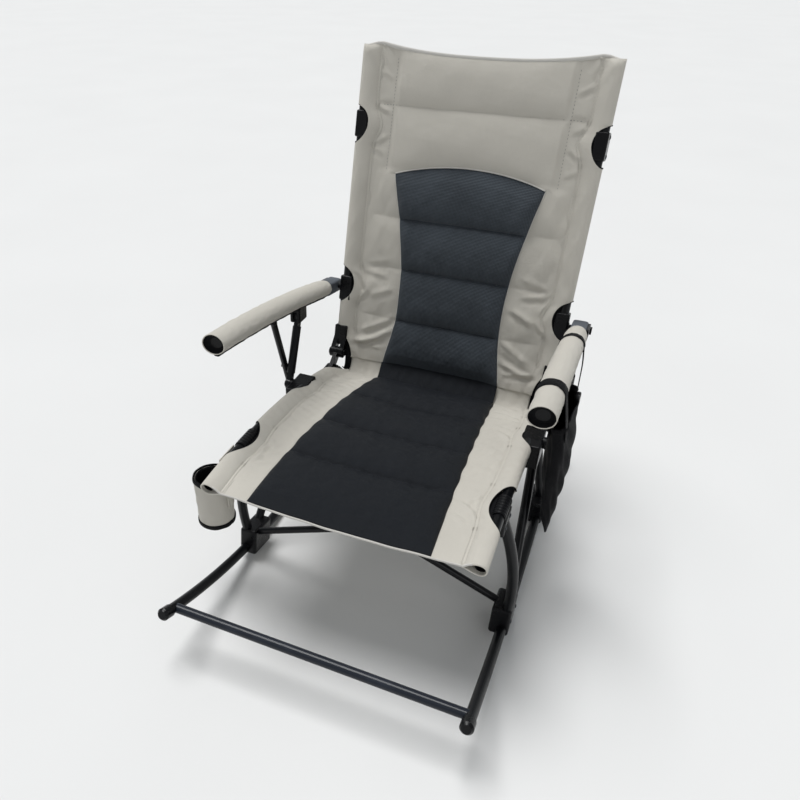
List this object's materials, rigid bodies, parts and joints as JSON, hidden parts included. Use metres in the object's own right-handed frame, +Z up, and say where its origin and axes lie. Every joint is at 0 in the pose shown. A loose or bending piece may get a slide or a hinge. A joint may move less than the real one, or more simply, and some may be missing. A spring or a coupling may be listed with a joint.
{
  "type": "folding rocking chair",
  "caption": "Folding rocking chair: padded sling seat and high back on black tubes, curved floor rails, sleeved arms, cup holder and hanging side pocket.",
  "frame": {"origin": "on the floor under the lowest point of the two rocker rails, on the chair's centre plane", "axes": "+Z up, -Y the way the sitter faces, +X the viewer's right when facing the chair"},
  "size_m": [0.7278, 1.0216, 1.0372],
  "materials": {
    "black_tube": "satin powder coat",
    "black_plastic": "moulded, slightly glossy",
    "grey_plastic": "moulded, matte",
    "beige_cloth": "fine woven polyester",
    "black_cloth": "smooth black woven nylon",
    "slate_mesh": "padded spacer mesh",
    "black_webbing": "black nylon cloth and webbing"
  },
  "bodies": {
    "arm_left": {"arm_clevis_left": "black_plastic", "arm_front_plug_left": "black_plastic", "arm_rear_cap_left": "grey_plastic", "arm_sleeve_left": "beige_cloth", "arm_tube_left": "black_tube"},
    "arm_right": {"arm_clevis_right": "black_plastic", "arm_front_plug_right": "black_plastic", "arm_rear_cap_right": "grey_plastic", "arm_sleeve_right": "beige_cloth", "arm_tube_right": "black_tube", "pocket_strap_front": "black_webbing", "pocket_strap_rear": "black_webbing", "side_pocket": "black_webbing"},
    "back": {"arm_pivot_bracket_left": "black_plastic", "arm_pivot_bracket_right": "black_plastic", "back_cover": "beige_cloth", "back_knuckle_left": "black_plastic", "back_knuckle_right": "black_plastic", "back_panel": "slate_mesh", "back_stretcher": "black_tube", "back_tube_left": "black_tube", "back_tube_right": "black_tube", "upper_back_bracket_left": "black_plastic", "upper_back_bracket_right": "black_plastic"},
    "support_left": {"arm_support_left": "black_tube", "stop_strut_left": "black_tube"},
    "support_right": {"arm_support_right": "black_tube", "stop_strut_right": "black_tube"},
    "base": {"cup_holder": "beige_cloth", "front_brace_a": "black_tube", "front_brace_b": "black_tube", "front_leg_left": "black_tube", "front_leg_right": "black_tube", "hub_front_left": "black_plastic", "hub_front_right": "black_plastic", "hub_rear_left": "black_plastic", "hub_rear_right": "black_plastic", "rail_cap_front_left": "black_plastic", "rail_cap_front_right": "black_plastic", "rail_cap_rear_left": "black_plastic", "rail_cap_rear_right": "black_plastic", "rear_leg_left": "black_tube", "rear_leg_right": "black_tube", "rocker_rail_left": "black_tube", "rocker_rail_right": "black_tube", "seat_front_bracket_left": "black_plastic", "seat_front_bracket_right": "black_plastic", "seat_hinge_bracket_left": "black_plastic", "seat_hinge_bracket_right": "black_plastic", "seat_mid_bracket_left": "black_plastic", "seat_mid_bracket_right": "black_plastic", "seat_panel": "black_cloth", "seat_side_left": "beige_cloth", "seat_side_right": "beige_cloth", "seat_strut_left": "black_tube", "seat_strut_right": "black_tube", "seat_tube_left": "black_tube", "seat_tube_right": "black_tube", "tie_bar_front": "black_tube", "tie_bar_rear": "black_tube"}
  },
  "joints": [
    {"name": "back_fold", "type": "hinge", "parent": "base", "child": "back", "pos_m": [0, 0.203, 0.343], "axis": [1, 0, 0], "range_deg": [0, 90]},
    {"name": "arm_swing_left", "type": "hinge", "parent": "back", "child": "arm_left", "pos_m": [-0.308, 0.26349, 0.49821], "axis": [1, 0, 0], "range_deg": [-90, 0]},
    {"name": "support_swing_left", "type": "hinge", "parent": "base", "child": "support_left", "pos_m": [-0.308, 0.004, 0.34753], "axis": [1, 0, 0], "range_deg": [0, 90]},
    {"name": "arm_swing_right", "type": "hinge", "parent": "back", "child": "arm_right", "pos_m": [0.308, 0.26349, 0.49821], "axis": [1, 0, 0], "range_deg": [-90, 0]},
    {"name": "support_swing_right", "type": "hinge", "parent": "base", "child": "support_right", "pos_m": [0.308, 0.004, 0.34753], "axis": [1, 0, 0], "range_deg": [0, 90]}
  ],
  "couplings": [
    {"joint": "arm_swing_left", "follows": "back_fold", "ratio": -1},
    {"joint": "support_swing_left", "follows": "back_fold", "ratio": 1},
    {"joint": "arm_swing_right", "follows": "back_fold", "ratio": -1},
    {"joint": "support_swing_right", "follows": "back_fold", "ratio": 1}
  ]
}
